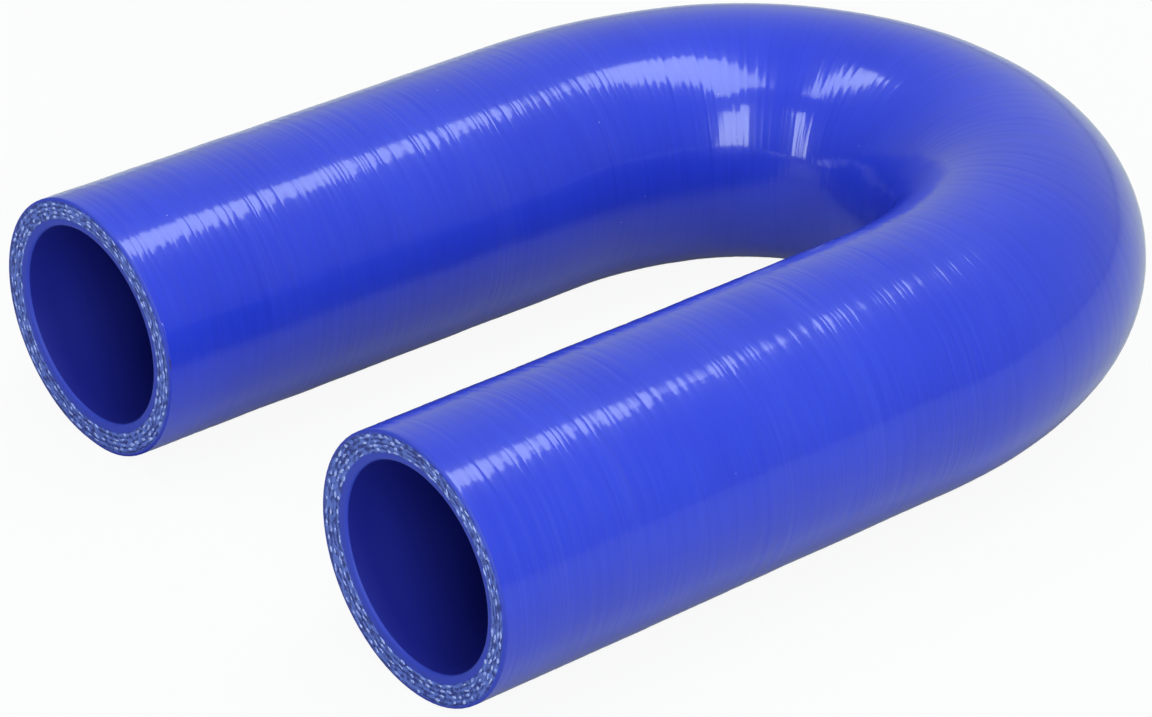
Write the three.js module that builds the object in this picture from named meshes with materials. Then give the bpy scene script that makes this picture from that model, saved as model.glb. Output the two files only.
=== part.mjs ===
/**
 * A moulded silicone U-bend hose for an engine's coolant or air circuit.
 *
 * The hose is one vulcanised piece: rubberised fabric is wrapped on a bent mandrel, taped, cured, pulled off
 * and trimmed square at both ends. Two nearly parallel legs are joined by a bend of 180 degrees, which opens
 * into each leg through a short arc of larger radius. The bore runs a little off centre, because the wrap is
 * thicker on one side, and the hand-trimmed cuts are a degree or two out of square.
 *
 * Millimetres and degrees, +Z up. The hose lies flat on Z = 0 with its open ends towards -Y, and the origin is
 * under the middle of its bounding box.
 */
import * as THREE from "three";
import { mergeVertices } from "three/addons/utils/BufferGeometryUtils.js";

// The wall's section.
const BORE_DIAMETER = 35;
const WALL_THICKNESS = 5.25;
const EDGE_RADIUS = 0.5;

// The centreline, from the open end of the long leg to the open end of the short one.
const LONG_LEG = 101.5;
const SHORT_LEG = 94.8;
const ENTRY_RADIUS = 70;
const ENTRY_ANGLE = 23;
const BEND_RADIUS = 45;
const SPLAY_ANGLE = 0.5;

// How far the bore sits from the middle of the section at each open end. "side" points away from the other
// leg, and "up" is +Z.
const LONG_END_BORE_SHIFT = { side: 1.0, up: 0.8 };
const SHORT_END_BORE_SHIFT = { side: -0.5, up: 0.65 };

// How far each trimmed end is out of square: "side" swings its outer edge forwards, "up" its top.
const LONG_END_CUT_TILT = { side: 0.7, up: 1.0 };
const SHORT_END_CUT_TILT = { side: 1.7, up: 1.5 };

// The size of the facets that stand for round surfaces.
const SECTION_SIDES = 40;
const STEP_ANGLE = 4.5;
const EDGE_STEPS = 2;

const SILICONE_BLUE = 0x2f45cf;

const outerRadius = BORE_DIAMETER / 2 + WALL_THICKNESS;
const edgeRadius = Math.min(EDGE_RADIUS, WALL_THICKNESS / 4);
const radians = THREE.MathUtils.degToRad;

/** A point at an angle on a circle, in plan. */
function onCircle(centre, radius, angle) {
  return new THREE.Vector2(Math.cos(angle), Math.sin(angle)).multiplyScalar(radius).add(centre);
}

/** The hose's centreline in plan, about the centre of its bend: leg, entry arc, main arc, entry arc, leg. */
function centreline() {
  const splay = radians(SPLAY_ANGLE);
  const entryEnd = splay + radians(ENTRY_ANGLE);
  const bendCentre = new THREE.Vector2(0, 0);
  const entryCentre = onCircle(bendCentre, BEND_RADIUS - ENTRY_RADIUS, entryEnd);
  const exitCentre = new THREE.Vector2(-entryCentre.x, entryCentre.y);
  const longLegDirection = new THREE.Vector2(Math.sin(splay), -Math.cos(splay));
  const shortLegDirection = new THREE.Vector2(-Math.sin(splay), -Math.cos(splay));

  const longLegTop = onCircle(entryCentre, ENTRY_RADIUS, splay);
  const longLegEnd = longLegDirection.multiplyScalar(LONG_LEG).add(longLegTop);
  const shortLegTop = new THREE.Vector2(-longLegTop.x, longLegTop.y);
  const shortLegEnd = shortLegDirection.multiplyScalar(SHORT_LEG).add(shortLegTop);

  const arc = (centre, radius, from, to) =>
    new THREE.EllipseCurve(centre.x, centre.y, radius, radius, from, to, false);
  const line = new THREE.CurvePath();
  line.add(new THREE.LineCurve(longLegEnd, longLegTop));
  line.add(arc(entryCentre, ENTRY_RADIUS, splay, entryEnd));
  line.add(arc(bendCentre, BEND_RADIUS, entryEnd, Math.PI - entryEnd));
  line.add(arc(exitCentre, ENTRY_RADIUS, Math.PI - entryEnd, Math.PI - splay));
  line.add(new THREE.LineCurve(shortLegTop, shortLegEnd));
  return line;
}

/** The distances along the line at which the wall has a ring of corners: none inside a straight leg. */
function ringDistances(line) {
  const distances = [];
  let passed = 0;
  for (const curve of line.curves) {
    const turn = curve.isEllipseCurve ? curve.aEndAngle - curve.aStartAngle : 0;
    const steps = Math.max(1, Math.ceil(turn / radians(STEP_ANGLE)));
    const length = curve.getLength();
    for (let i = 0; i < steps; i++) distances.push(passed + (length * i) / steps);
    passed += length;
  }
  distances.push(passed);
  return distances;
}

/** A rounded corner of the wall's profile, between two angles on a circle of the edge radius. */
function roundedCorner(radius, distance, from, to) {
  const centre = new THREE.Vector2(radius, distance);
  return Array.from({ length: EDGE_STEPS + 1 }, (_, i) =>
    onCircle(centre, edgeRadius, from + ((to - from) * i) / EDGE_STEPS),
  );
}

/** The straight tube before it is bent: x is the radius and y the distance along the hose. */
function straightTube(distances) {
  const length = distances.at(-1);
  const boreRadius = BORE_DIAMETER / 2;
  const between = distances.slice(1, -1);
  const quarter = Math.PI / 2;
  const profile = [
    ...roundedCorner(outerRadius - edgeRadius, edgeRadius, -quarter, 0),
    ...between.map((distance) => new THREE.Vector2(outerRadius, distance)),
    ...roundedCorner(outerRadius - edgeRadius, length - edgeRadius, 0, quarter),
    ...roundedCorner(boreRadius + edgeRadius, length - edgeRadius, quarter, 2 * quarter),
    ...between.map((distance) => new THREE.Vector2(boreRadius, distance)).reverse(),
    ...roundedCorner(boreRadius + edgeRadius, edgeRadius, 2 * quarter, 3 * quarter),
  ];
  profile.push(profile[0].clone());
  return new THREE.LatheGeometry(profile, SECTION_SIDES);
}

/** How far a point beside the centreline moves along it, so that the trimmed end has its tilt. */
function cutOffset(distance, length, side, up) {
  if (distance <= edgeRadius) {
    const { side: sideTilt, up: upTilt } = LONG_END_CUT_TILT;
    return -side * Math.tan(radians(sideTilt)) - up * Math.tan(radians(upTilt));
  }
  if (distance >= length - edgeRadius) {
    const { side: sideTilt, up: upTilt } = SHORT_END_CUT_TILT;
    return side * Math.tan(radians(sideTilt)) + up * Math.tan(radians(upTilt));
  }
  return 0;
}

/** Bends the straight tube along the centreline, which becomes the middle of its outside. */
function bendAlong(tube, line, length) {
  const position = tube.getAttribute("position");
  for (let i = 0; i < position.count; i++) {
    const distance = position.getY(i);
    const share = Math.min(distance / length, 1);
    const radius = Math.hypot(position.getX(i), position.getZ(i));
    const inwards = THREE.MathUtils.clamp((outerRadius - radius) / WALL_THICKNESS, 0, 1);
    const { lerp } = THREE.MathUtils;
    const side =
      position.getX(i) + inwards * lerp(LONG_END_BORE_SHIFT.side, SHORT_END_BORE_SHIFT.side, share);
    const up = position.getZ(i) + inwards * lerp(LONG_END_BORE_SHIFT.up, SHORT_END_BORE_SHIFT.up, share);

    const middle = line.getPoint(share);
    const forward = line.getTangent(share);
    const along = cutOffset(distance, length, side, up);
    position.setXYZ(
      i,
      middle.x + forward.y * side + forward.x * along,
      middle.y - forward.x * side + forward.y * along,
      up,
    );
  }
  return tube;
}

/** The whole hose: one closed wall, open at both ends. */
function buildHose() {
  const line = centreline();
  const distances = ringDistances(line);
  const wall = bendAlong(straightTube(distances), line, distances.at(-1));
  wall.deleteAttribute("normal");
  wall.deleteAttribute("uv");
  const geometry = mergeVertices(wall);
  geometry.computeVertexNormals();
  const silicone = new THREE.MeshStandardMaterial({ color: SILICONE_BLUE, roughness: 0.25, metalness: 0 });
  const hose = new THREE.Mesh(geometry, silicone);
  hose.name = "hose";
  return hose;
}

const hose = buildHose();
const box = new THREE.Box3().setFromObject(hose);
const middle = box.getCenter(new THREE.Vector3());
hose.position.set(-middle.x, -middle.y, -box.min.z);

const model = new THREE.Group();
model.name = "silicone_u_bend_hose";
model.add(hose);

export default model;
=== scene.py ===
"""Looks for a moulded silicone U-bend hose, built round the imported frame. Metres, +Z up.

The hose is modelled straight, along +X, and then bent: its wall is lathed, marked by the cure tape, set off
centre and trimmed, and a curve bends it into the U. The straight shape stays on the mesh as an attribute, so
that every pattern of the finish follows the hose round the bend.
"""

import logging
import math
from collections.abc import Callable
from dataclasses import dataclass, field
from enum import Enum

import bpy
import numpy as np
from mathutils import Matrix, Vector

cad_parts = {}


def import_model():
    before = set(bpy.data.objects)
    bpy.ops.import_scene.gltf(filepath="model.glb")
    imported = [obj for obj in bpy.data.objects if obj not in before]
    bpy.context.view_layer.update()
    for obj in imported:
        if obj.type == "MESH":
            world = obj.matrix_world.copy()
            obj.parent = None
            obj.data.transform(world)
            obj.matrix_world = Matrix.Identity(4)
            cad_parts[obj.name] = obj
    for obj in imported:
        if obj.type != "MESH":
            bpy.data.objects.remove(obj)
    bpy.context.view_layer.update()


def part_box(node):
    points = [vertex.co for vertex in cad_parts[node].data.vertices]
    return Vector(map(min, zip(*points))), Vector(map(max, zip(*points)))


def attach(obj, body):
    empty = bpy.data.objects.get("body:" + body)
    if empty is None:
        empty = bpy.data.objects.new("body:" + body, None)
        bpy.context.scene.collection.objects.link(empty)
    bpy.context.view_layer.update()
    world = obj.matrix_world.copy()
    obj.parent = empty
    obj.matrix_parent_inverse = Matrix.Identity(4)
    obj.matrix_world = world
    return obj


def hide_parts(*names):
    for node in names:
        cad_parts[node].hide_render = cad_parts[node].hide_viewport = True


log = logging.getLogger("hose")

# Short names for Blender's types.
Piece = bpy.types.Object
Socket = bpy.types.NodeSocket
Tree = bpy.types.NodeTree

MM = 0.001

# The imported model's names.
NODE = "hose"
BODY = "root"

# What the wall's points carry: the place in the straight hose, the share of the wall that lies outside, and
# how slack the cure tape's film was.
STRAIGHT = "straight"
DEPTH = "wall_depth"
SLACK = "tape_slack"

# The colour sockets of a Mix node.
MIX_A = 6
MIX_B = 7
MIX_OUT = 2

# How many finer layers a natural pattern has.
DETAIL = 2.0

# How far a point may lie from its place, and how far apart two points that are one may lie.
TOLERANCE = MM / 20
TOUCHING = MM / 100

# The studio's light, and Blender's power for a square metre of lamp with a radiance of one.
DAYLIGHT = 0xF2FFFE
LAMP_POWER = 4


def linear(colour: int) -> tuple[float, float, float, float]:
    """Turns an sRGB hex colour into the linear colour that a shader takes.

    Args:
        colour: The colour as 0xRRGGBB.

    Returns:
        Linear red, green, blue and an alpha of one.
    """
    channels = [(colour >> shift & 255) / 255 for shift in (16, 8, 0)]
    r, g, b = (c / 12.92 if c <= 0.04045 else ((c + 0.055) / 1.055) ** 2.4 for c in channels)
    return r, g, b, 1.0


def add_node(
    tree: Tree,
    kind: str,
    inputs: dict[str | int, object] | None = None,
    **settings: object,
) -> bpy.types.Node:
    """Adds a shader node with its settings and links.

    Args:
        tree: The material's or world's node tree.
        kind: The node's type, such as "ShaderNodeBump".
        inputs: Input sockets, by name or number, with the value or the output socket that feeds each.
        settings: The node's own properties.

    Returns:
        The new node.
    """
    node = tree.nodes.new(kind)
    for name, value in settings.items():
        setattr(node, name, value)
    for name, value in (inputs or {}).items():
        if isinstance(value, Socket):
            tree.links.new(value, node.inputs[name])
        else:
            node.inputs[name].default_value = value
    return node


def start_material(name: str) -> tuple[bpy.types.Material, Tree]:
    """Makes a material with an empty node tree.

    Args:
        name: The material's name.

    Returns:
        The material and its tree.
    """
    material = bpy.data.materials.new(name)
    material.use_nodes = True
    material.node_tree.nodes.clear()
    return material, material.node_tree


def select_only(*pieces: Piece) -> None:
    """Selects objects, and nothing else.

    Args:
        pieces: The objects, of which the first becomes the active one.
    """
    bpy.ops.object.select_all(action="DESELECT")
    for piece in pieces:
        piece.select_set(True)
    bpy.context.view_layer.objects.active = pieces[0]


def in_edit_mode(piece: Piece) -> None:
    """Selects one object alone and opens it in edit mode."""
    select_only(piece)
    bpy.ops.object.mode_set(mode="EDIT")


def in_object_mode() -> None:
    """Goes back to object mode, so that the mesh's data is up to date."""
    bpy.ops.object.mode_set(mode="OBJECT")


def positions(mesh: bpy.types.Mesh) -> np.ndarray:
    """Reads where a mesh's points are.

    Args:
        mesh: The mesh.

    Returns:
        Rows of x, y and z.
    """
    flat = np.empty(len(mesh.vertices) * 3)
    mesh.vertices.foreach_get("co", flat)
    return flat.reshape(-1, 3)


def store(piece: Piece, name: str, values: np.ndarray) -> None:
    """Keeps a number or a vector with each of a mesh's points, for a finish to read.

    Args:
        piece: The mesh's object.
        name: The attribute's name.
        values: One number or one row of x, y and z for each point.
    """
    kind, key = ("FLOAT_VECTOR", "vector") if values.ndim == 2 else ("FLOAT", "value")
    piece.data.attributes.new(name, kind, "POINT").data.foreach_set(key, values.ravel())


def pick(piece: Piece, chosen: np.ndarray, kind: str = "VERT") -> None:
    """Selects vertices, edges or faces by a mask, in edit mode.

    Args:
        piece: The object that is open in edit mode.
        chosen: One truth value for each element.
        kind: "VERT", "EDGE" or "FACE".
    """
    bpy.ops.mesh.select_mode(type=kind)
    bpy.ops.mesh.select_all(action="DESELECT")
    in_object_mode()
    elements = {"VERT": piece.data.vertices, "EDGE": piece.data.edges, "FACE": piece.data.polygons}[kind]
    elements.foreach_set("select", chosen.astype(bool))
    bpy.ops.object.mode_set(mode="EDIT")


def apply_modifier(piece: Piece, kind: str, **settings: object) -> None:
    """Adds a modifier with its settings and applies it at once.

    Args:
        piece: The object to change.
        kind: The modifier's type, such as "DISPLACE".
        settings: The modifier's own properties.
    """
    modifier = piece.modifiers.new(kind.lower(), kind)
    for name, value in settings.items():
        setattr(modifier, name, value)
    select_only(piece)
    bpy.ops.object.modifier_apply(modifier=modifier.name)


def weight_group(piece: Piece, name: str, weights: np.ndarray) -> str:
    """Paints a vertex group.

    Args:
        piece: The object to paint.
        name: The group's name.
        weights: A weight from 0 to 1 for each vertex.

    Returns:
        The group's name, as a modifier takes it.
    """
    group = piece.vertex_groups.new(name=name)
    for index in np.flatnonzero(weights > 0):
        group.add([int(index)], float(weights[index]), "REPLACE")
    return group.name


@dataclass(frozen=True)
class SiliconeCover:
    """Silicone rubber with an ultramarine pigment, cured under a film tape that leaves it as smooth as glass.

    To the eye that is a deep, even blue under a clear gloss, with hair-fine streaks round the hose where the
    film lay in folds, and the odd grain of dust that silicone always draws. The body below the gloss reflects
    little of its own. The blue varies in slow clouds of the pigment's own tone, and is lighter and darker in
    hair-fine lines along the streaks, which is painted sheen; faint pale lines along the film's creases are
    painted highlights. A pair of values gives the noise at which a blend starts and ends.
    """

    colour: int = 0x2438C3
    deep_colour: int = 0x2031B8
    # Noise limits of the blend: slow clouds of tone, and painted sheen along the streaks.
    tone_and_sheen_limits: tuple[float, float] = (0.7, 1.3)
    dust_and_highlight_colour: int = 0xB4BCE8
    ior: float = 1.41
    roughness: float = 0.32
    roughness_spread: float = 0.05
    body_gloss: float = 0.35
    skin_roughness: float = 0.1
    streak_width: float = 0.45 * MM
    streak_length: float = 14 * MM
    streak_height: float = 0.001 * MM
    crease_spacing: float = 1.4 * MM
    crease_length: float = 60 * MM
    crease_sharpness: float = 0.12
    crease_depth: float = 0.05 * MM
    wrinkle_spacing: float = 0.8 * MM
    wrinkle_depth: float = 0.003 * MM
    patch_width: float = 9 * MM
    patch_length: float = 30 * MM
    patch_limits: tuple[float, float] = (0.3, 0.7)
    cloud_size: float = 26 * MM
    dust_spacing: float = 7 * MM
    dust_size: float = 0.1 * MM
    dust_blur: float = 1.8
    dust: float = 0.4
    # Faint pale lines along the film's creases: painted highlights.
    crease_highlight_spacing: float = 1.7 * MM
    crease_highlight_share: float = 0.02

    def material(self) -> bpy.types.Material:
        """Builds the glossy cover's material.

        Returns:
            The material.
        """
        material, tree = start_material("glossy_silicone_cover")
        straight = add_node(tree, "ShaderNodeAttribute", attribute_name=STRAIGHT).outputs["Vector"]
        slack = add_node(tree, "ShaderNodeAttribute", attribute_name=SLACK).outputs["Fac"]
        streaks = self.round_the_hose(tree, straight, self.streak_width, self.streak_length, DETAIL)
        clouds = add_node(
            tree,
            "ShaderNodeTexNoise",
            {"Vector": straight, "Scale": 1 / self.cloud_size, "Detail": DETAIL},
        ).outputs["Fac"]
        # Slow clouds of tone, plus hair-fine lines along the streaks that paint sheen into the blue.
        shade = add_node(tree, "ShaderNodeMath", {0: streaks, 1: clouds}, operation="ADD").outputs[0]
        share = add_node(
            tree,
            "ShaderNodeMapRange",
            {"Value": shade, "From Min": self.tone_and_sheen_limits[0], "From Max": self.tone_and_sheen_limits[1]},
        ).outputs["Result"]
        blue = add_node(
            tree,
            "ShaderNodeMix",
            {0: share, MIX_A: linear(self.deep_colour), MIX_B: linear(self.colour)},
            data_type="RGBA",
        ).outputs[MIX_OUT]
        # Dust, and painted highlights along the creases, in one pale colour.
        pale = self.dust_and_painted_highlights(tree, straight, slack)
        colour = add_node(
            tree,
            "ShaderNodeMix",
            {0: pale, MIX_A: blue, MIX_B: linear(self.dust_and_highlight_colour)},
            data_type="RGBA",
        ).outputs[MIX_OUT]
        low, high = self.roughness - self.roughness_spread, self.roughness + self.roughness_spread
        roughness = add_node(
            tree, "ShaderNodeMapRange", {"Value": clouds, "To Min": low, "To Max": high}
        ).outputs["Result"]
        streaked = self.film_marks(tree, straight, slack, streaks)
        shader = add_node(
            tree,
            "ShaderNodeBsdfPrincipled",
            {
                "Base Color": colour,
                "Roughness": roughness,
                "Normal": streaked,
                "IOR": self.ior,
                "Specular IOR Level": self.body_gloss,
                "Coat Weight": 1.0,
                "Coat Roughness": self.skin_roughness,
                "Coat IOR": self.ior,
                "Coat Normal": streaked,
            },
        )
        add_node(tree, "ShaderNodeOutputMaterial", {"Surface": shader.outputs[0]})
        return material

    def dust_and_painted_highlights(self, tree: Tree, straight: Socket, slack: Socket) -> Socket:
        """Adds grains of dust, and faint pale lines along the creases of the film, which are painted
        highlights.

        Args:
            tree: The material's node tree.
            straight: The place in the straight hose, along +X.
            slack: How slack the film was.

        Returns:
            The share of the pale colour: dust, and painted highlights along the creases.
        """
        # Painted highlights: pale lines in the creases, where the film was slack.
        painted_crease_highlights = self.creases(tree, straight, self.crease_highlight_spacing)
        painted_crease_highlights = add_node(tree, "ShaderNodeMath", {0: painted_crease_highlights, 1: slack}, operation="MULTIPLY").outputs[0]
        grain = add_node(
            tree, "ShaderNodeTexVoronoi", {"Vector": straight, "Scale": 1 / self.dust_spacing}
        ).outputs["Distance"]
        size = self.dust_size / self.dust_spacing
        dust = add_node(
            tree,
            "ShaderNodeMapRange",
            {
                "Value": grain,
                "From Min": size,
                "From Max": size * self.dust_blur,
                "To Min": self.dust,
                "To Max": 0.0,
            },
        ).outputs["Result"]
        return add_node(
            tree, "ShaderNodeMath", {0: painted_crease_highlights, 1: self.crease_highlight_share, 2: dust}, operation="MULTIPLY_ADD"
        ).outputs[0]

    def film_marks(self, tree: Tree, straight: Socket, slack: Socket, streaks: Socket) -> Socket:
        """Adds what the film pressed into the cover: creases, fine wrinkles and hair-fine streaks.

        Args:
            tree: The material's node tree.
            straight: The place in the straight hose, along +X.
            slack: How slack the film was.
            streaks: The streaks' height.

        Returns:
            The marked surface's normal.
        """
        below = {}
        for height, distance, pressed_in in (
            (self.creases(tree, straight, self.crease_spacing), self.crease_depth, True),
            (self.creases(tree, straight, self.wrinkle_spacing), self.wrinkle_depth, True),
            (streaks, self.streak_height, False),
        ):
            inputs = {"Strength": slack, "Height": height, "Distance": distance, **below}
            below = {"Normal": add_node(tree, "ShaderNodeBump", inputs, invert=pressed_in).outputs[0]}
        return below["Normal"]

    def creases(self, tree: Tree, straight: Socket, spacing: float) -> Socket:
        """Adds the sharp creases of the film: lines round the hose, where a slow noise is at its middle.

        Args:
            tree: The material's node tree.
            straight: The place in the straight hose, along +X.
            spacing: About half the mean distance between creases.

        Returns:
            One in a crease's bottom, falling to zero beside it, and fading from place to place.
        """
        noise = self.round_the_hose(tree, straight, spacing, self.crease_length, 0.0)
        offset = add_node(tree, "ShaderNodeMath", {0: noise, 1: 0.5}, operation="SUBTRACT").outputs[0]
        offset = add_node(tree, "ShaderNodeMath", {0: offset}, operation="ABSOLUTE").outputs[0]
        fall = add_node(
            tree, "ShaderNodeMath", {0: offset, 1: -1 / self.crease_sharpness}, operation="MULTIPLY"
        ).outputs[0]
        crease = add_node(tree, "ShaderNodeMath", {0: fall}, operation="EXPONENT").outputs[0]
        patches = self.round_the_hose(tree, straight, self.patch_width, self.patch_length, 1.0)
        low, high = self.patch_limits
        strength = add_node(
            tree, "ShaderNodeMapRange", {"Value": patches, "From Min": low, "From Max": high}
        ).outputs["Result"]
        return add_node(tree, "ShaderNodeMath", {0: crease, 1: strength}, operation="MULTIPLY").outputs[0]

    def round_the_hose(
        self,
        tree: Tree,
        straight: Socket,
        width: float,
        length: float,
        detail: float,
    ) -> Socket:
        """Adds noise that is drawn out round the hose, as the tape's folds are.

        Args:
            tree: The material's node tree.
            straight: The place in the straight hose, along +X.
            width: The size of the noise along the hose.
            length: Its size round the hose.
            detail: How many finer layers it has.

        Returns:
            A value about 0.5.
        """
        place = add_node(
            tree,
            "ShaderNodeMapping",
            {"Vector": straight, "Scale": (1 / width, 1 / length, 1 / length)},
        ).outputs["Vector"]
        noise = add_node(tree, "ShaderNodeTexNoise", {"Vector": place, "Scale": 1.0, "Detail": detail})
        return noise.outputs["Fac"]


@dataclass(frozen=True)
class TrimmedWall:
    """The knife's cut through the wall: matt liner, four plies of fabric in silicone, and the cover.

    To the eye the plies are a muted, mottled blue with darker lines between them, set between two plain
    rings. Depths are shares of the wall's thickness, from the outside
    in. The fades say how far past its first and last plies the fabric goes over to plain rubber, in half
    ply spacings.
    """

    rubber: int = 0x2737AA
    cloth: int = 0x566AC0
    # The darker lines between the rows of cloth.
    between_rows: int = 0x212D7C
    ior: float = 1.43
    roughness: float = 0.55
    outermost_ply: float = 0.21
    ply_spacing: float = 0.155
    plies: int = 4
    cover_fade: float = 1.7
    liner_fade: float = 0.5
    patch_length: float = 1.3 * MM
    patch_height: float = 0.55 * MM
    unevenness: float = 16.0
    woven: tuple[float, float] = (6.2, 9.2)
    wander_length: float = 9 * MM
    wander_patches: float = 0.3
    wander: float = 0.12
    end_shift: float = 0.02 / MM
    relief: float = 0.12 * MM

    @property
    def ply_depths(self) -> list[float]:
        """The depth of each ply's middle, as a share of the wall's thickness, from the outermost ply on."""
        return [self.outermost_ply + row * self.ply_spacing for row in range(self.plies)]

    def material(self, radius: float, thickness: float) -> bpy.types.Material:
        """Builds the cut face's material.

        Args:
            radius: The hose's outside radius.
            thickness: The wall's thickness.

        Returns:
            The material.
        """
        material, tree = start_material("trimmed_silicone_wall")
        depth = add_node(tree, "ShaderNodeAttribute", attribute_name=DEPTH).outputs["Fac"]
        straight = add_node(tree, "ShaderNodeAttribute", attribute_name=STRAIGHT).outputs["Vector"]
        round_scale, depth_scale = radius / self.patch_length, thickness / self.patch_height
        patches = self.polar_noise(tree, straight, depth, round_scale, depth_scale)
        round_scale = radius / self.wander_length
        wander = self.polar_noise(tree, straight, depth, round_scale, self.wander_patches)
        moved = add_node(
            tree,
            "ShaderNodeMath",
            {0: wander, 1: self.wander, 2: -self.wander / 2},
            operation="MULTIPLY_ADD",
        ).outputs[0]
        place = add_node(tree, "ShaderNodeMath", {0: depth, 1: moved}, operation="ADD").outputs[0]
        first, last = self.ply_depths[0], self.ply_depths[-1]
        half = self.ply_spacing / 2
        from_cover = self.ramp(tree, place, first - half * self.cover_fade, first - half)
        to_liner = self.ramp(tree, place, last + half, last + half * self.liner_fade)
        zone = add_node(tree, "ShaderNodeMath", {0: from_cover, 1: to_liner}, operation="MULTIPLY").outputs[0]
        turns = math.tau / self.ply_spacing
        phase = add_node(
            tree, "ShaderNodeMath", {0: place, 1: turns, 2: -first * turns}, operation="MULTIPLY_ADD"
        ).outputs[0]
        rows = add_node(tree, "ShaderNodeMath", {0: phase}, operation="COSINE").outputs[0]
        uneven = add_node(
            tree, "ShaderNodeMath", {0: patches, 1: self.unevenness, 2: rows}, operation="MULTIPLY_ADD"
        ).outputs[0]
        woven = self.ramp(tree, uneven, *self.woven)
        fabric = add_node(
            tree,
            "ShaderNodeMix",
            {0: woven, MIX_A: linear(self.between_rows), MIX_B: linear(self.cloth)},
            data_type="RGBA",
        ).outputs[MIX_OUT]
        colour = add_node(
            tree,
            "ShaderNodeMix",
            {0: zone, MIX_A: linear(self.rubber), MIX_B: fabric},
            data_type="RGBA",
        ).outputs[MIX_OUT]
        height = add_node(tree, "ShaderNodeMath", {0: woven, 1: zone}, operation="MULTIPLY").outputs[0]
        normal = add_node(
            tree, "ShaderNodeBump", {"Height": height, "Distance": self.relief}
        ).outputs["Normal"]
        shader = add_node(
            tree,
            "ShaderNodeBsdfPrincipled",
            {"Base Color": colour, "Normal": normal, "Roughness": self.roughness, "IOR": self.ior},
        )
        add_node(tree, "ShaderNodeOutputMaterial", {"Surface": shader.outputs[0]})
        return material

    def ramp(self, tree: Tree, value: Socket, zero_at: float, one_at: float) -> Socket:
        """Adds a clamped ramp of a value, from 0 to 1."""
        return add_node(
            tree, "ShaderNodeMapRange", {"Value": value, "From Min": zero_at, "From Max": one_at}
        ).outputs["Result"]

    def polar_noise(
        self,
        tree: Tree,
        straight: Socket,
        depth: Socket,
        round_scale: float,
        depth_scale: float,
    ) -> Socket:
        """Adds noise on the cut face that runs round the wall without a seam.

        Args:
            tree: The material's node tree.
            straight: The place in the straight hose, along +X.
            depth: The share of the wall's thickness that lies outside.
            round_scale: The wall's radius in patches.
            depth_scale: The wall's thickness in patches.

        Returns:
            A value about 0.5.
        """
        spread = add_node(
            tree, "ShaderNodeVectorMath", {0: straight, 1: (self.end_shift, 1.0, 1.0)}, operation="MULTIPLY"
        ).outputs[0]
        unit = add_node(tree, "ShaderNodeVectorMath", {0: straight, 1: (0.0, 1.0, 1.0)}, operation="MULTIPLY")
        unit = add_node(tree, "ShaderNodeVectorMath", {0: unit.outputs[0]}, operation="NORMALIZE").outputs[0]
        round_it = add_node(
            tree, "ShaderNodeVectorMath", {0: unit, "Scale": round_scale}, operation="SCALE"
        ).outputs[0]
        inwards = add_node(
            tree, "ShaderNodeMath", {0: depth, 1: depth_scale}, operation="MULTIPLY"
        ).outputs[0]
        inwards = add_node(tree, "ShaderNodeCombineXYZ", {"X": inwards}).outputs[0]
        place = add_node(tree, "ShaderNodeVectorMath", {0: round_it, 1: inwards}, operation="ADD").outputs[0]
        place = add_node(tree, "ShaderNodeVectorMath", {0: place, 1: spread}, operation="ADD").outputs[0]
        noise = add_node(tree, "ShaderNodeTexNoise", {"Vector": place, "Scale": 1.0, "Detail": DETAIL})
        return noise.outputs["Fac"]


@dataclass(frozen=True)
class SiliconeLiner:
    """The bore's silicone liner, as the mandrel leaves it: satin, with faint marks drawn lengthwise.

    Its blue is much darker than the cover's: painted shade of the deep bore.
    """

    # Much darker than the cover's blue: painted shade of the deep bore.
    colour: int = 0x1B2082
    ior: float = 1.43
    gloss: float = 0.3
    roughness: float = 0.45
    roughness_spread: float = 0.06
    mark_length: float = 60 * MM
    mark_width: float = 1.4 * MM
    mark_height: float = 0.01 * MM

    def material(self) -> bpy.types.Material:
        """Builds the bore's material.

        Returns:
            The material.
        """
        material, tree = start_material("satin_silicone_liner_painted_shade")
        straight = add_node(tree, "ShaderNodeAttribute", attribute_name=STRAIGHT).outputs["Vector"]
        scale = (1 / self.mark_length, 1 / self.mark_width, 1 / self.mark_width)
        place = add_node(tree, "ShaderNodeMapping", {"Vector": straight, "Scale": scale}).outputs["Vector"]
        marks = add_node(
            tree, "ShaderNodeTexNoise", {"Vector": place, "Scale": 1.0, "Detail": DETAIL}
        ).outputs["Fac"]
        low, high = self.roughness - self.roughness_spread, self.roughness + self.roughness_spread
        roughness = add_node(
            tree, "ShaderNodeMapRange", {"Value": marks, "To Min": low, "To Max": high}
        ).outputs["Result"]
        normal = add_node(
            tree, "ShaderNodeBump", {"Height": marks, "Distance": self.mark_height}
        ).outputs["Normal"]
        shader = add_node(
            tree,
            "ShaderNodeBsdfPrincipled",
            {
                "Base Color": linear(self.colour),
                "Roughness": roughness,
                "Normal": normal,
                "IOR": self.ior,
                "Specular IOR Level": self.gloss,
            },
        )
        add_node(tree, "ShaderNodeOutputMaterial", {"Surface": shader.outputs[0]})
        return material


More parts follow.
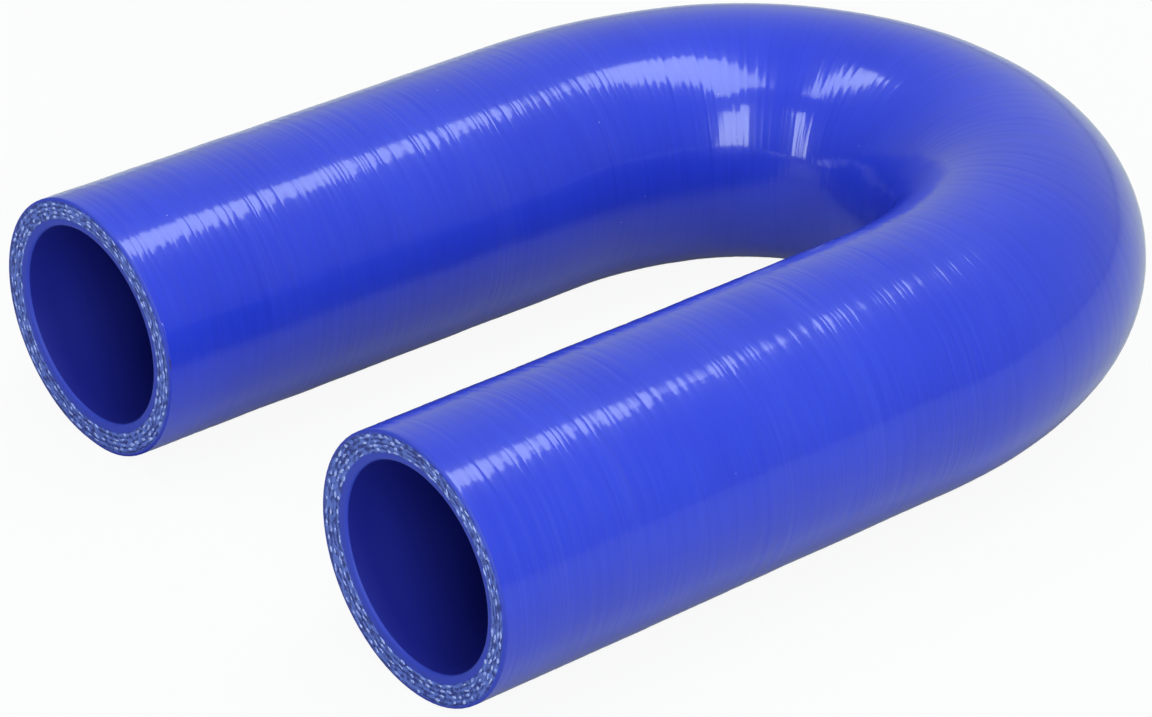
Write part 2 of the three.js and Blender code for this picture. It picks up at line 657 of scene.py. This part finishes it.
@dataclass(frozen=True)
class PolyesterYarn:
    """Cut ends of polyester yarn, wetted through with blue silicone: pale, matt, and uneven end to end."""

    pale: int = 0xA6B2EA
    soaked: int = 0x6072C8
    ior: float = 1.45
    roughness: float = 0.6
    fibre_size: float = 0.35 * MM
    soaking: tuple[float, float] = (0.35, 0.6)

    def material(self) -> bpy.types.Material:
        """Builds the thread ends' material.

        Returns:
            The material.
        """
        material, tree = start_material("polyester_yarn_ends")
        place = add_node(tree, "ShaderNodeTexCoord").outputs["Object"]
        soaking = add_node(
            tree,
            "ShaderNodeTexNoise",
            {"Vector": place, "Scale": 1 / self.fibre_size, "Detail": DETAIL},
        ).outputs["Fac"]
        low, high = self.soaking
        share = add_node(
            tree, "ShaderNodeMapRange", {"Value": soaking, "From Min": low, "From Max": high}
        ).outputs["Result"]
        colour = add_node(
            tree,
            "ShaderNodeMix",
            {0: share, MIX_A: linear(self.soaked), MIX_B: linear(self.pale)},
            data_type="RGBA",
        ).outputs[MIX_OUT]
        shader = add_node(
            tree,
            "ShaderNodeBsdfPrincipled",
            {"Base Color": colour, "Roughness": self.roughness, "IOR": self.ior},
        )
        add_node(tree, "ShaderNodeOutputMaterial", {"Surface": shader.outputs[0]})
        return material


class End(Enum):
    """The two open ends of the hose."""

    LONG = "long_end"
    SHORT = "short_end"


@dataclass(frozen=True)
class Trim:
    """How one open end was trimmed, and where the bore came out in it.

    "side" points away from the other leg and "up" is +Z. The shifts are in metres and the tilts in degrees.
    The seed draws the places of the end's threads.
    """

    bore_side: float
    bore_up: float
    tilt_side: float
    tilt_up: float
    seed: int


@dataclass(frozen=True)
class Centreline:
    """The hose's centreline: leg, entry arc, main arc, entry arc and leg, in the plane of the bend."""

    long_leg: float = 101.5 * MM
    short_leg: float = 94.8 * MM
    entry_radius: float = 70 * MM
    entry_angle: float = 23.0
    bend_radius: float = 45 * MM
    splay: float = 0.5
    step: float = 1 * MM

    @property
    def main_angle(self) -> float:
        """The angle that the main arc turns through, in degrees."""
        return 180 - 2 * (self.splay + self.entry_angle)

    @property
    def stretches(self) -> list[tuple[float, float]]:
        """The stretches of the line, from the long end on.

        Returns:
            The length of each, and its turn in radians.
        """
        entry = math.radians(self.entry_angle)
        main = math.radians(self.main_angle)
        return [
            (self.long_leg, 0.0),
            (self.entry_radius * entry, entry),
            (self.bend_radius * main, main),
            (self.entry_radius * entry, entry),
            (self.short_leg, 0.0),
        ]

    @property
    def length(self) -> float:
        """The developed length of the whole line."""
        return sum(length for length, _ in self.stretches)

    def points(self) -> np.ndarray:
        """Walks along the line in short steps.

        Returns:
            Rows of x and y from the middle of the long end on, with the bend's centre at the origin.
        """
        heading = math.radians(90 + self.splay)
        place = np.zeros(2)
        rows = [place]
        for length, turn in self.stretches:
            steps = max(1, round(length / self.step))
            chord = length / steps
            if turn:
                chord *= math.sin(turn / steps / 2) / (turn / steps / 2)
            for _ in range(steps):
                heading += turn / steps / 2
                place = place + chord * np.array([math.cos(heading), math.sin(heading)])
                heading += turn / steps / 2
                rows.append(place)
        walked = np.array(rows)
        top = walked[:, 1].max()
        middle = walked[np.argmax(walked[:, 1]), 0]
        return walked - np.array([middle, top - self.bend_radius])


@dataclass
class TapeMarks:
    """The cure tape's spiral mark: between its turns the cover swells, and under its edge it is pinched.

    The turns lie from "nearest" to "furthest" apart, and "steepest" is the slope of a pinch at even steps
    along the hose. The shapes are those of the beta distributions that spacings and slopes are drawn from.
    """

    nearest: float = 1.2 * MM
    furthest: float = 3.8 * MM
    spacing_shape: tuple[float, float] = (1.6, 2.2)
    slope_shape: tuple[float, float] = (1.5, 1.6)
    steepest: tuple[float, ...] = (0.085, 0.08, 0.03, 0.03, 0.06, 0.07)
    step: float = 0.03 * MM
    wander: float = 0.22 * MM
    knots: int = 4
    seed: int = 11

    def depth(self, along: np.ndarray, angle: np.ndarray, length: float) -> np.ndarray:
        """Works out how far each point of the cover lies under the crest of its turn.

        Args:
            along: Each point's distance along the straight hose.
            angle: Each point's angle round it, from 0 to a full turn.
            length: The hose's length.

        Returns:
            The depth at each point, in metres.
        """
        random = np.random.default_rng(self.seed)
        turns = [-2 * self.furthest]
        while turns[-1] < length + 2 * self.furthest:
            spread = random.beta(*self.spacing_shape)
            turns.append(turns[-1] + self.nearest + (self.furthest - self.nearest) * spread)
        drift = random.uniform(-self.wander, self.wander, self.knots * len(turns))
        slope = random.beta(*self.slope_shape, self.knots * len(turns))
        steepest = np.interp(along, np.linspace(0, length, len(self.steepest)), self.steepest)
        share = angle / math.tau
        depth = np.zeros_like(along)
        for i in range(len(turns) - 2):
            turn = i + share
            low = np.interp(turn, range(len(turns)), turns) + self.smoothly(drift, turn)
            high = np.interp(turn + 1, range(len(turns)), turns) + self.smoothly(drift, turn + 1)
            inside = (along >= low) & (along < high)
            across = (along - low) / (high - low)
            edge = self.smoothly(slope, turn) * (1 - across) + self.smoothly(slope, turn + 1) * across
            pinch = steepest * edge * (high - low) / 4 * (2 * across - 1) ** 2
            step = self.step * self.smoothly(slope, turn + 2) * across
            depth[inside] = (pinch + step)[inside]
        return depth

    def smoothly(self, values: np.ndarray, turn: np.ndarray) -> np.ndarray:
        """Reads a value that drifts along the spiral, a few knots to a turn.

        Args:
            values: The value at each knot.
            turn: Places on the spiral, in turns.

        Returns:
            The value at each place.
        """
        place = turn * self.knots
        first = np.floor(place).astype(int)
        part = place - first
        part = part * part * (3 - 2 * part)
        return values[first] * (1 - part) + values[np.minimum(first + 1, len(values) - 1)] * part


@dataclass
class HoseWall:
    """The hose's wall: liner, fabric plies and cover in one piece, open at both ends.

    The slacks are the shares of the film's marks that are left outside the bend, inside it and underneath.
    """

    outside: float
    centre: Vector
    line: Centreline = field(default_factory=Centreline)
    tape: TapeMarks = field(default_factory=TapeMarks)
    bore: float = 35 * MM
    edge_radius: float = 0.5 * MM
    edge_steps: int = 3
    sides: int = 72
    cover_cuts: tuple[int, ...] = (31, 31)
    bore_cuts: tuple[int, ...] = (9, 9)
    cut_rings: int = 10
    taut_after: float = 22 * MM
    outer_slack: float = 0.03
    inner_slack: float = 0.28
    under_slack: float = 0.15
    slack_above: float = 0.25
    swell: float = 0.22 * MM
    swell_size: float = 15 * MM
    trims: dict[End, Trim] = field(
        default_factory=lambda: {
            End.LONG: Trim(1.0 * MM, 0.8 * MM, 0.7, 1.0, 5),
            End.SHORT: Trim(-0.5 * MM, 0.65 * MM, 1.7, 1.5, 8),
        }
    )

    @property
    def radius(self) -> float:
        """The outside radius."""
        return self.outside / 2

    @property
    def thickness(self) -> float:
        """The wall's mean thickness."""
        return (self.outside - self.bore) / 2

    @property
    def middle_radius(self) -> float:
        """The radius of the middle of the wall."""
        return (self.radius + self.bore / 2) / 2

    def build(self) -> Piece:
        """Models the wall straight, marks it, trims it and bends it.

        Returns:
            The finished wall, in place.
        """
        piece = self.lathe()
        self.keep_straight_shape(piece)
        self.dress(
            piece,
            [
                SiliconeCover().material(),
                TrimmedWall().material(self.radius, self.thickness),
                SiliconeLiner().material(),
            ],
        )
        self.press_tape_marks(piece)
        self.set_bore_off_centre(piece)
        for end in End:
            self.trim(piece, end)
        self.bend(piece)
        bpy.ops.object.shade_smooth()
        return piece

    def dress(self, piece: Piece, materials: list[bpy.types.Material]) -> None:
        """Gives the wall its finishes: one each for the cover, the cut ends and the bore.

        Args:
            piece: The straight wall.
            materials: The three finishes, in that order.
        """
        for material in materials:
            piece.data.materials.append(material)
        centres = np.empty(len(piece.data.polygons) * 3)
        piece.data.polygons.foreach_get("center", centres)
        along, across, up = centres.reshape(-1, 3).T
        in_bore = np.hypot(across, up) < self.middle_radius
        near_end = np.minimum(along, self.line.length - along) < self.edge_radius
        cover, cut, bore = range(3)
        region = np.where(near_end, cut, np.where(in_bore, bore, cover))
        piece.data.polygons.foreach_set("material_index", region.astype(np.int32))

    def lathe(self) -> Piece:
        """Spins the wall's section round the hose's axis.

        Returns:
            The straight wall, from the long end at x = 0 to the short end.
        """
        length = self.line.length
        bpy.ops.object.select_all(action="DESELECT")
        bpy.ops.mesh.primitive_plane_add(size=1, location=(0, 0, 0))
        piece = bpy.context.active_object
        piece.name = "hose_wall"
        in_edit_mode(piece)
        bpy.ops.mesh.select_all(action="SELECT")
        bpy.ops.transform.resize(value=(length, self.thickness, 1))
        bpy.ops.transform.translate(value=(length / 2, self.middle_radius, 0))
        bpy.ops.mesh.delete(type="ONLY_FACE")
        bpy.ops.mesh.select_mode(type="VERT")
        bpy.ops.mesh.select_all(action="SELECT")
        bpy.ops.mesh.bevel(offset=self.edge_radius, segments=self.edge_steps, affect="VERTICES", profile=0.5)
        outermost, innermost = self.radius - TOLERANCE, self.bore / 2 + TOLERANCE
        self.divide_edge(piece, lambda a, b: min(a[1], b[1]) > outermost, self.cover_cuts)
        self.divide_edge(piece, lambda a, b: max(a[1], b[1]) < innermost, self.bore_cuts)
        self.divide_edge(piece, lambda a, b: abs(a[0] - b[0]) < TOLERANCE, (self.cut_rings - 1,))
        bpy.ops.mesh.select_all(action="SELECT")
        bpy.ops.mesh.spin(steps=self.sides, angle=math.tau, center=(0, 0, 0), axis=(1, 0, 0))
        bpy.ops.mesh.select_all(action="SELECT")
        bpy.ops.mesh.remove_doubles(threshold=TOUCHING)
        bpy.ops.mesh.normals_make_consistent(inside=False)
        in_object_mode()
        return piece

    def divide_edge(
        self,
        piece: Piece,
        wanted: Callable[[np.ndarray, np.ndarray], bool],
        cuts: tuple[int, ...],
    ) -> None:
        """Divides the long edges of the section that a test picks.

        Args:
            piece: The section, open in edit mode.
            wanted: A test of an edge by its two ends.
            cuts: How many cuts each round of dividing makes.
        """
        in_object_mode()
        rows = positions(piece.data)
        ends = [(rows[e.vertices[0]], rows[e.vertices[1]]) for e in piece.data.edges]
        longest = [np.linalg.norm(a - b) > 2 * self.edge_radius for a, b in ends]
        chosen = np.array([long and wanted(a, b) for long, (a, b) in zip(longest, ends)])
        bpy.ops.object.mode_set(mode="EDIT")
        pick(piece, chosen, "EDGE")
        for count in cuts:
            bpy.ops.mesh.subdivide(number_cuts=count)

    def keep_straight_shape(self, piece: Piece) -> None:
        """Stores where each point lies in the straight wall, and how slack its film was.

        Args:
            piece: The straight wall, before anything marks it.
        """
        rows = positions(piece.data)
        store(piece, STRAIGHT, rows)
        store(piece, DEPTH, self.depth(rows))
        store(piece, SLACK, self.slack(rows))

    def depth(self, rows: np.ndarray) -> np.ndarray:
        """The share of the wall's thickness that lies outside each place, from 0 to 1."""
        return np.clip((self.radius - np.hypot(rows[:, 1], rows[:, 2])) / self.thickness, 0, 1)

    def slack(self, rows: np.ndarray) -> np.ndarray:
        """Works out how slack the film was: tight round the bend's outside, and tauter underneath.

        Args:
            rows: Places in the straight wall.

        Returns:
            The share of the film's marks that each place has.
        """
        into_bend = np.minimum(
            rows[:, 0] - self.line.long_leg, self.line.length - self.line.short_leg - rows[:, 0]
        )
        into_bend = np.clip(into_bend / self.taut_after, 0, 1)
        inwards = 0.5 + rows[:, 1] / self.outside
        stretched = self.outer_slack + (self.inner_slack - self.outer_slack) * inwards
        upwards = np.clip(1 - self.slack_above + rows[:, 2] / self.outside, 0, 1)
        hanging = self.under_slack + (1 - self.under_slack) * upwards
        return hanging * (1 + (stretched - 1) * into_bend)

    def press_tape_marks(self, piece: Piece) -> None:
        """Lets the cover swell a little between the tape's turns and sink under its edge.

        Args:
            piece: The straight wall.
        """
        rows = positions(piece.data)
        round_it = np.mod(np.arctan2(rows[:, 2], rows[:, 1]), math.tau)
        cover = np.hypot(rows[:, 1], rows[:, 2]) > self.radius - TOLERANCE
        marks = self.tape.depth(rows[:, 0], round_it, self.line.length) * cover
        deepest = marks.max()
        group = weight_group(piece, "tape_marks", marks / deepest)
        apply_modifier(piece, "DISPLACE", vertex_group=group, strength=-deepest, mid_level=0)
        group = weight_group(piece, "cover", cover.astype(float))
        swelling = bpy.data.textures.new("swelling", "CLOUDS")
        swelling.noise_scale = self.swell_size
        apply_modifier(
            piece,
            "DISPLACE",
            vertex_group=group,
            strength=self.swell,
            mid_level=0.5,
            texture=swelling,
            texture_coords="LOCAL",
        )

    def set_bore_off_centre(self, piece: Piece) -> None:
        """Leans the bore out of the middle, by a lattice that only the inner side of the wall follows.

        Args:
            piece: The straight wall.
        """
        group = weight_group(piece, "wall_depth", self.depth(positions(piece.data)))
        cage = bpy.data.lattices.new("bore_cage")
        cage.interpolation_type_u = "KEY_LINEAR"
        holder = bpy.data.objects.new("bore_cage", cage)
        bpy.context.scene.collection.objects.link(holder)
        holder.scale = (self.line.length, self.outside, self.outside)
        holder.location = (self.line.length / 2, 0, 0)
        for point in cage.points:
            trim = self.trims[End.LONG if point.co.x < 0 else End.SHORT]
            shift = Vector((0, -trim.bore_side / self.outside, trim.bore_up / self.outside))
            point.co_deform = point.co + shift
        bpy.context.view_layer.update()
        apply_modifier(piece, "LATTICE", object=holder, vertex_group=group)
        bpy.data.objects.remove(holder)

    def trim(self, piece: Piece, end: End) -> None:
        """Tilts one cut end, as the knife left it.

        Args:
            piece: The straight wall.
            end: Which end.
        """
        place = 0.0 if end is End.LONG else self.line.length
        rows = positions(piece.data)
        near = np.abs(rows[:, 0] - place) < self.edge_radius + TOLERANCE
        offset = self.cut_offset(rows[:, 1], rows[:, 2], end)
        rows[near, 0] += offset[near]
        piece.data.vertices.foreach_set("co", rows.ravel())
        piece.data.update()

    def cut_offset(self, across: np.ndarray, up: np.ndarray, end: End) -> np.ndarray:
        """How far along the hose the cut lies from square, beside its middle.

        Args:
            across: The distance along +Y in the straight hose, which points to the other leg.
            up: The height over the centreline.
            end: Which end.

        Returns:
            The distance along +X.
        """
        trim = self.trims[end]
        forwards = -1 if end is End.LONG else 1
        tilt_side = math.tan(math.radians(trim.tilt_side))
        tilt_up = math.tan(math.radians(trim.tilt_up))
        return forwards * (-across * tilt_side + up * tilt_up)

    def bend(self, piece: Piece) -> None:
        """Bends a straight piece along the centreline.

        Args:
            piece: A mesh in the straight hose's place, along +X.
        """
        walked = self.line.points()
        curve = bpy.data.curves.new("centreline", "CURVE")
        curve.dimensions = "3D"
        curve.twist_mode = "Z_UP"
        curve.use_radius = False
        spline = curve.splines.new("POLY")
        spline.points.add(len(walked) - 1)
        for point, (x, y) in zip(spline.points, walked):
            point.co = (x + self.centre.x, y + self.centre.y, self.centre.z, 1)
        guide = bpy.data.objects.new("centreline", curve)
        bpy.context.scene.collection.objects.link(guide)
        bpy.context.view_layer.update()
        apply_modifier(piece, "CURVE", object=guide, deform_axis="POS_X")
        bpy.data.objects.remove(guide)


@dataclass
class ThreadEnds:
    """The cut ends of the fabric's threads on one trimmed end: one row for each ply, staggered.

    The strays are standard deviations: round the hose in thread spacings, in depth as a share of the wall's
    thickness, and in lean in radians. "lost" is the share of threads that ended below the cut.
    """

    wall: HoseWall
    end: End
    cut: TrimmedWall = TrimmedWall()
    pitch: float = 2.5 * MM
    length: float = 1.35 * MM
    width: float = 0.56 * MM
    height: float = 0.198 * MM
    facets: tuple[int, int] = (8, 4)
    blunt_after: float = 0.2
    bluntness: float = 0.7
    lost: float = 0.2
    sizes: tuple[float, float] = (0.55, 1.25)
    stray_round: float = 0.14
    stray_depth: float = 0.012
    stray_lean: float = 0.2

    def build(self, yarn: bpy.types.Material) -> Piece:
        """Models one thread end and sets its copies into the cut face.

        Args:
            yarn: The threads' finish.

        Returns:
            All the thread ends of this cut as one piece.
        """
        random = np.random.default_rng(self.wall.trims[self.end].seed)
        template = self.one_end()
        template.data.materials.append(yarn)
        copies = []
        for depth in self.cut.ply_depths:
            radius = self.wall.radius - depth * self.wall.thickness
            count = round(math.tau * radius / self.pitch)
            start = random.uniform(0, math.tau)
            for i in range(count):
                angle = start + math.tau * (i + random.normal(0, self.stray_round)) / count
                lean = random.normal(0, self.stray_lean)
                size = random.uniform(*self.sizes, 3)
                if random.random() < self.lost:
                    continue
                inwards = depth + random.normal(0, self.stray_depth)
                copy = template.copy()
                copy.data = template.data.copy()
                copy.data.transform(self.place(angle, inwards, lean, size))
                bpy.context.scene.collection.objects.link(copy)
                copies.append(copy)
        bpy.data.objects.remove(template)
        select_only(*copies)
        bpy.ops.object.join()
        piece = bpy.context.active_object
        piece.name = f"{self.end.value}_threads"
        self.wall.bend(piece)
        bpy.ops.object.shade_smooth()
        return piece

    def one_end(self) -> Piece:
        """Shapes a single thread end: a flat, lopsided bead that is longest round the hose.

        Returns:
            The bead at the origin, longest along +Z and flattest along +X.
        """
        segments, rings = self.facets
        bpy.ops.object.select_all(action="DESELECT")
        bpy.ops.mesh.primitive_uv_sphere_add(
            segments=segments, ring_count=rings, radius=0.5, location=(0, 0, 0)
        )
        bead = bpy.context.active_object
        in_edit_mode(bead)
        bpy.ops.mesh.select_all(action="SELECT")
        bpy.ops.mesh.normals_make_consistent(inside=False)
        bpy.ops.transform.resize(value=(self.height, self.width, self.length))
        in_object_mode()
        blunt = positions(bead.data)[:, 2] > self.length * self.blunt_after
        in_edit_mode(bead)
        pick(bead, blunt)
        bpy.ops.transform.resize(value=(1, self.bluntness, 1))
        in_object_mode()
        return bead

    def place(self, angle: float, depth: float, lean: float, size: np.ndarray) -> Matrix:
        """Works out where one copy of the bead goes in the straight hose.

        Args:
            angle: The angle round the hose.
            depth: The share of the wall's thickness that lies outside it.
            lean: How far it leans out of its row, in radians.
            size: Its size along each axis, against the template's.

        Returns:
            The copy's matrix.
        """
        trim = self.wall.trims[self.end]
        radius = self.wall.radius - depth * self.wall.thickness
        across = radius * math.cos(angle) - depth * trim.bore_side
        up = radius * math.sin(angle) + depth * trim.bore_up
        square = 0.0 if self.end is End.LONG else self.wall.line.length
        along = square + self.wall.cut_offset(across, up, self.end)
        turn = Matrix.Rotation(angle + lean, 4, "X")
        return Matrix.Translation((along, across, up)) @ turn @ Matrix.Diagonal((*size, 1.0))


@dataclass(frozen=True)
class StripLight:
    """A soft box: a flat rectangle of even light that faces the hose."""

    name: str
    start: tuple[float, float, float]
    end: tuple[float, float, float]
    width: float
    radiance: float

    def build(self, aim: Vector) -> None:
        """Hangs the soft box between the middles of its two short sides.

        Args:
            aim: The point that it faces.
        """
        start, end = Vector(self.start), Vector(self.end)
        middle = (start + end) / 2
        lamp = bpy.data.lights.new(self.name, "AREA")
        lamp.shape = "RECTANGLE"
        lamp.size = self.width
        lamp.size_y = (end - start).length
        lamp.energy = LAMP_POWER * lamp.size * lamp.size_y * self.radiance
        lamp.color = linear(DAYLIGHT)[:3]
        light = bpy.data.objects.new(self.name, lamp)
        bpy.context.scene.collection.objects.link(light)
        upwards = (end - start).normalized()
        backwards = middle - aim
        backwards = (backwards - backwards.dot(upwards) * upwards).normalized()
        sideways = upwards.cross(backwards)
        turn = Matrix((sideways, upwards, backwards)).transposed().to_4x4()
        light.matrix_world = Matrix.Translation(middle) @ turn
        light.visible_camera = False


@dataclass(frozen=True)
class CameraPlace:
    """Where the photograph was taken from, as angles about the point that it looks at."""

    target: tuple[float, float, float] = (0.012156, -0.026758, 0.02275)
    azimuth: float = 50.3567
    elevation: float = 28.657
    roll: float = -0.0704
    distance: float = 0.823032
    lens: float = 156.5045
    sensor: float = 36.0

    def build(self) -> None:
        """Sets up the scene's camera."""
        azimuth, elevation = math.radians(self.azimuth), math.radians(self.elevation)
        back = Vector(
            (
                math.sin(azimuth) * math.cos(elevation),
                -math.cos(azimuth) * math.cos(elevation),
                math.sin(elevation),
            )
        )
        optics = bpy.data.cameras.new("camera")
        optics.lens = self.lens
        optics.sensor_width = self.sensor
        optics.sensor_fit = "HORIZONTAL"
        camera = bpy.data.objects.new("camera", optics)
        bpy.context.scene.collection.objects.link(camera)
        turn = (-back).to_track_quat("-Z", "Y").to_matrix().to_4x4()
        turn = turn @ Matrix.Rotation(math.radians(self.roll), 4, "Z")
        camera.matrix_world = Matrix.Translation(Vector(self.target) + back * self.distance) @ turn
        bpy.context.scene.camera = camera


@dataclass(frozen=True)
class Studio:
    """A white table in front of a pale sweep, seven soft boxes, and a dim room behind the camera.

    The room's light from a direction is "sweep" times its positive parts and "wall" times its negative ones.
    The camera sees the floor and the room lifted to white, and gloss shows a little of that white.
    """

    floor_size: float = 14.0
    floor_colour: int = 0xBCBCBC
    floor_lift: float = 0.93
    mirrored_lift: float = 0.03
    sweep: tuple[float, float, float] = (0.07, 0.43, 0.2)
    wall: tuple[float, float, float] = (-0.3, 0.0, 0.0)
    mirrored_white: float = 0.05
    boxes: tuple[StripLight, ...] = (
        StripLight("front_box", (0.174, -1.383, 0.151), (0.161, -1.385, 1.351), 0.2, 7.0),
        StripLight("side_box", (1.219, -0.874, 0.06), (1.219, -0.874, 1.806), 0.265, 6.2),
        StripLight("far_side_box", (1.382, -0.592, 0.06), (1.382, -0.592, 1.45), 0.35, 5.8),
        StripLight("overhead_box", (-0.79, -0.001, 1.231), (-0.16, -0.777, 1.231), 0.185, 5.2),
        StripLight("back_box", (0.425, -0.244, 1.011), (0.0, 1.055, 1.84), 0.46, 4.55),
        StripLight("far_back_box", (-0.002, 1.061, 1.844), (-0.075, 1.284, 1.986), 0.3, 4.9),
        StripLight("back_box_edge", (-0.076, 1.287, 1.988), (-0.158, 1.539, 2.149), 0.3, 1.9),
    )

    def build(self, aim: Vector) -> None:
        """Sets up floor, light and background.

        Args:
            aim: The point that the soft boxes face.
        """
        self.lay_floor()
        for box in self.boxes:
            box.build(aim)
        self.surround()

    def whiteness(self, tree: Tree, shown: float, mirrored: float) -> Socket:
        """Adds how much of the white background a ray sees.

        Args:
            tree: The floor's or the world's node tree.
            shown: The share that the camera sees.
            mirrored: The share that gloss and clear things show.

        Returns:
            The share for each ray.
        """
        rays = add_node(tree, "ShaderNodeLightPath").outputs
        bounced = add_node(
            tree,
            "ShaderNodeMath",
            {0: rays["Is Glossy Ray"], 1: rays["Is Transmission Ray"]},
            operation="MAXIMUM",
        ).outputs[0]
        bounced = add_node(tree, "ShaderNodeMath", {0: bounced, 1: mirrored}, operation="MULTIPLY").outputs[0]
        return add_node(
            tree, "ShaderNodeMath", {0: rays["Is Camera Ray"], 1: shown, 2: bounced}, operation="MULTIPLY_ADD"
        ).outputs[0]

    def lay_floor(self) -> None:
        """Lays the white table top."""
        bpy.ops.object.select_all(action="DESELECT")
        bpy.ops.mesh.primitive_plane_add(size=self.floor_size, location=(0, 0, 0))
        floor = bpy.context.active_object
        floor.name = "floor"
        material, tree = start_material("matt_white_table")
        surface = add_node(tree, "ShaderNodeBsdfDiffuse", {"Color": linear(self.floor_colour)}).outputs[0]
        white = add_node(tree, "ShaderNodeEmission", {"Strength": 1.0}).outputs[0]
        share = self.whiteness(tree, self.floor_lift, self.mirrored_lift)
        shown = add_node(tree, "ShaderNodeMixShader", {0: share, 1: surface, 2: white}).outputs[0]
        add_node(tree, "ShaderNodeOutputMaterial", {"Surface": shown})
        floor.data.materials.append(material)

    def surround(self) -> None:
        """Makes the world: a pale sweep behind the hose, a dimmer wall beside it, and dark in front."""
        world = bpy.data.worlds.new("studio")
        world.use_nodes = True
        tree = world.node_tree
        tree.nodes.clear()
        bpy.context.scene.world = world
        direction = add_node(tree, "ShaderNodeTexCoord").outputs["Generated"]
        origin = (0.0, 0.0, 0.0)
        onwards = add_node(
            tree, "ShaderNodeVectorMath", {0: direction, 1: origin}, operation="MAXIMUM"
        ).outputs[0]
        sweep = add_node(
            tree, "ShaderNodeVectorMath", {0: onwards, 1: self.sweep}, operation="DOT_PRODUCT"
        ).outputs["Value"]
        backwards = add_node(
            tree, "ShaderNodeVectorMath", {0: direction, 1: origin}, operation="MINIMUM"
        ).outputs[0]
        wall = add_node(
            tree, "ShaderNodeVectorMath", {0: backwards, 1: self.wall}, operation="DOT_PRODUCT"
        ).outputs["Value"]
        light = add_node(tree, "ShaderNodeMath", {0: sweep, 1: wall}, operation="ADD").outputs[0]
        shown = self.whiteness(tree, 1.0, self.mirrored_white)
        strength = add_node(
            tree, "ShaderNodeMix", {"Factor": shown, "A": light, "B": 1.0}, data_type="FLOAT"
        ).outputs[0]
        colour = add_node(
            tree,
            "ShaderNodeMix",
            {0: shown, MIX_A: linear(DAYLIGHT), MIX_B: (1.0, 1.0, 1.0, 1.0)},
            data_type="RGBA",
        ).outputs[MIX_OUT]
        background = add_node(
            tree, "ShaderNodeBackground", {"Color": colour, "Strength": strength}
        ).outputs[0]
        add_node(tree, "ShaderNodeOutputWorld", {"Surface": background})


def main() -> None:
    """Builds the hose and its studio in order, and logs each piece."""
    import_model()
    low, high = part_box(NODE)
    outside = high.z - low.z
    line = Centreline()
    centre = Vector(((low.x + high.x) / 2, high.y - outside / 2 - line.bend_radius, outside / 2))
    wall = HoseWall(outside, centre, line)
    piece = wall.build()
    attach(piece, BODY)
    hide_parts(NODE)
    log.info("%s: %d faces", piece.name, len(piece.data.polygons))
    yarn = PolyesterYarn().material()
    for end in End:
        threads = ThreadEnds(wall, end).build(yarn)
        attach(threads, BODY)
        log.info("%s: %d faces", threads.name, len(threads.data.polygons))
    aim = Vector((0, 0, outside / 2))
    Studio().build(aim)
    CameraPlace().build()
    bpy.context.scene.view_settings.view_transform = "Standard"
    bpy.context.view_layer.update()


if __name__ == "__main__":
    logging.basicConfig(level=logging.INFO)
    main()
